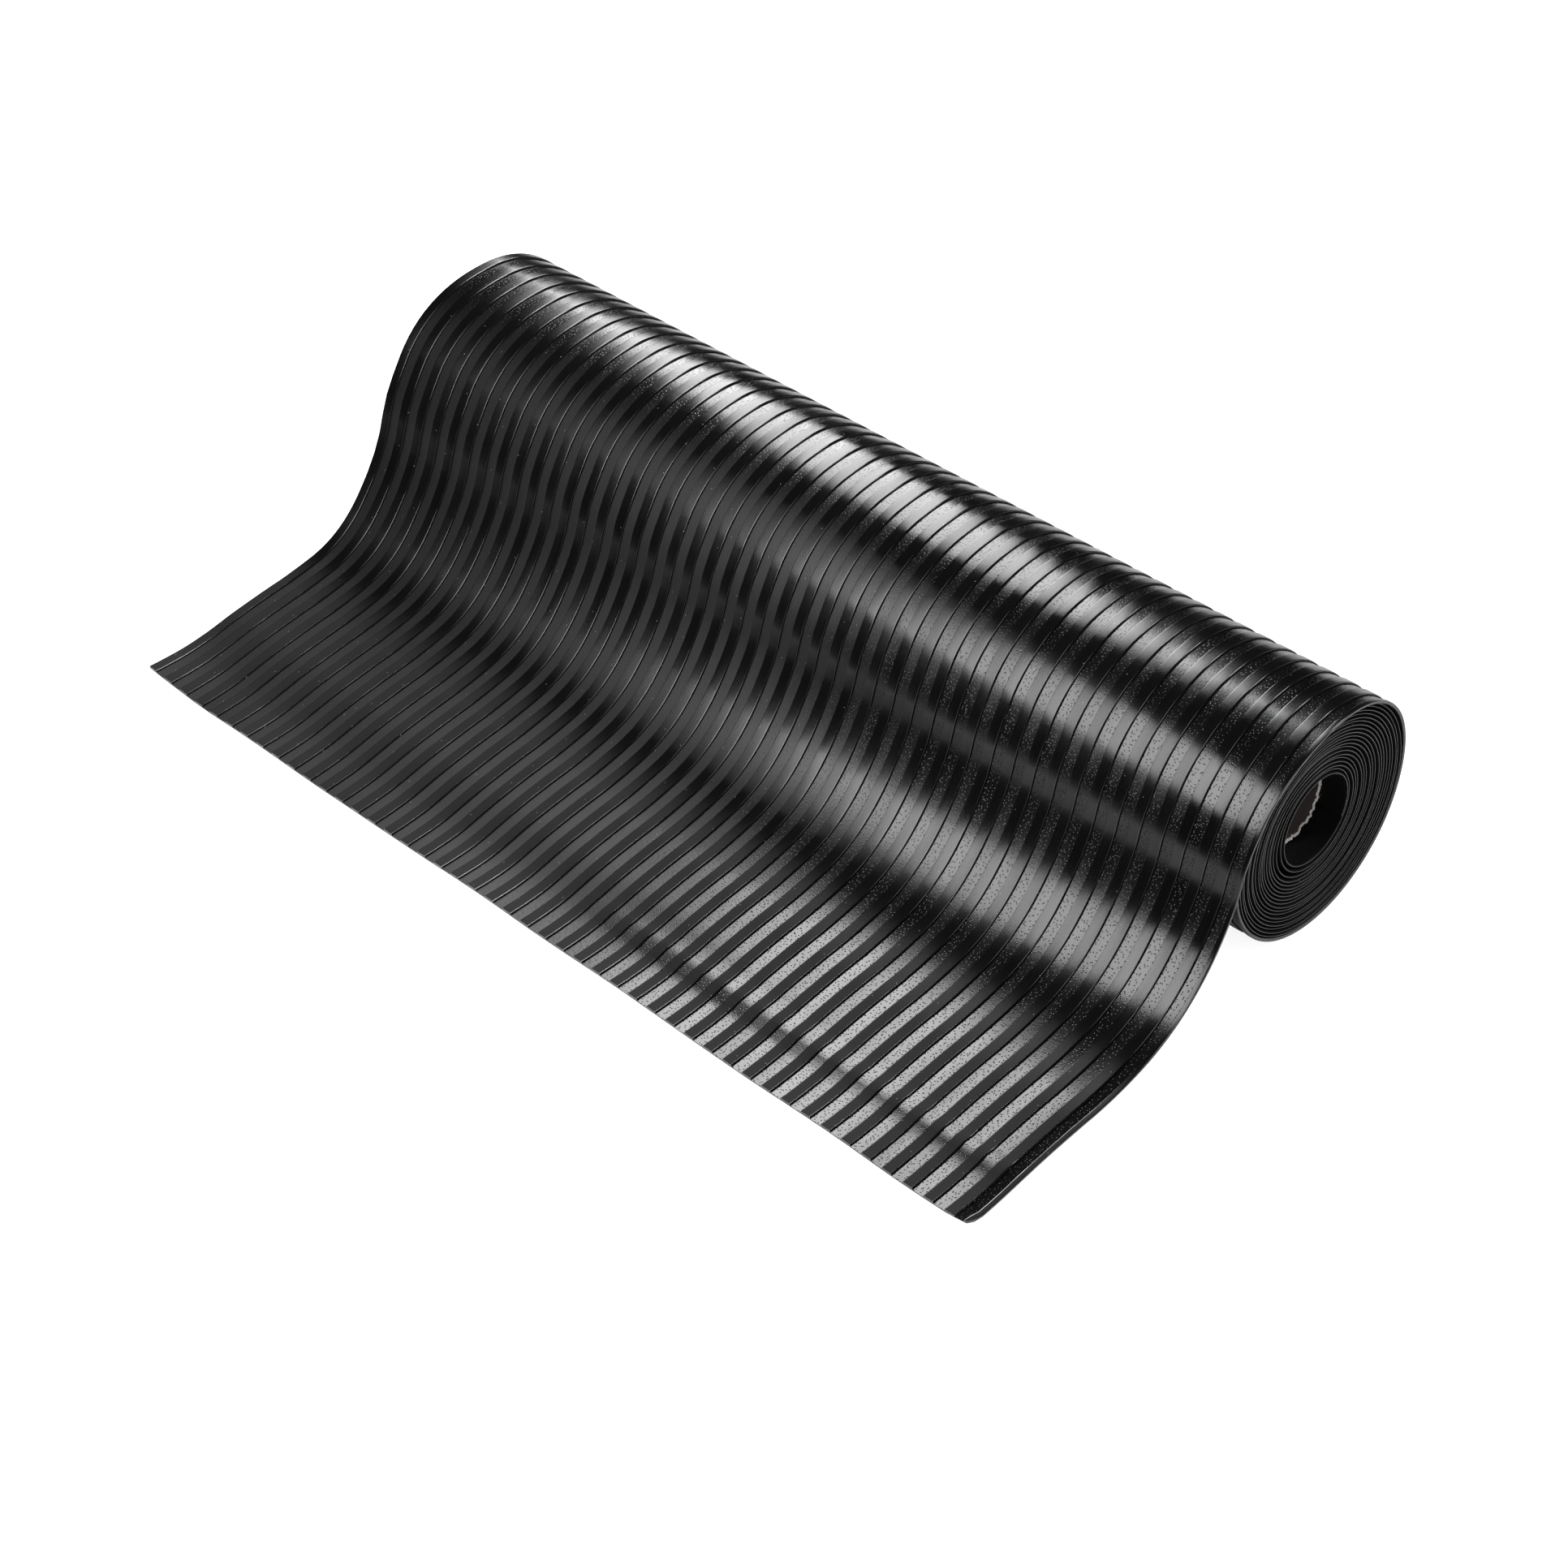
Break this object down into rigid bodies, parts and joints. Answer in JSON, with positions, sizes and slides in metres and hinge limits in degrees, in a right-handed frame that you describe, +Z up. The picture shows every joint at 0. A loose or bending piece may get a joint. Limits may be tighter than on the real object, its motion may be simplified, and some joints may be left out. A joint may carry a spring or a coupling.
{
  "type": "ribbed rubber runner mat",
  "caption": "Roll of wide-ribbed black rubber matting on a cardboard core, with its free end draped over the front of the roll and lying flat.",
  "frame": {"origin": "on the floor, in the middle of the whole mat's footprint", "axes": "+X along the roll's axis and across the mat's width, +Z up, and the free end lies flat towards -Y"},
  "size_m": [1, 0.5494, 0.2196],
  "materials": {
    "black_rubber": "semi-gloss moulded rubber, matte striated ribs and glossy grooves",
    "grey_cardboard": "grey wound board with torn ends"
  },
  "bodies": {
    "root": {"ribbed_mat": "black_rubber", "core_tube": "grey_cardboard"}
  },
  "joints": []
}
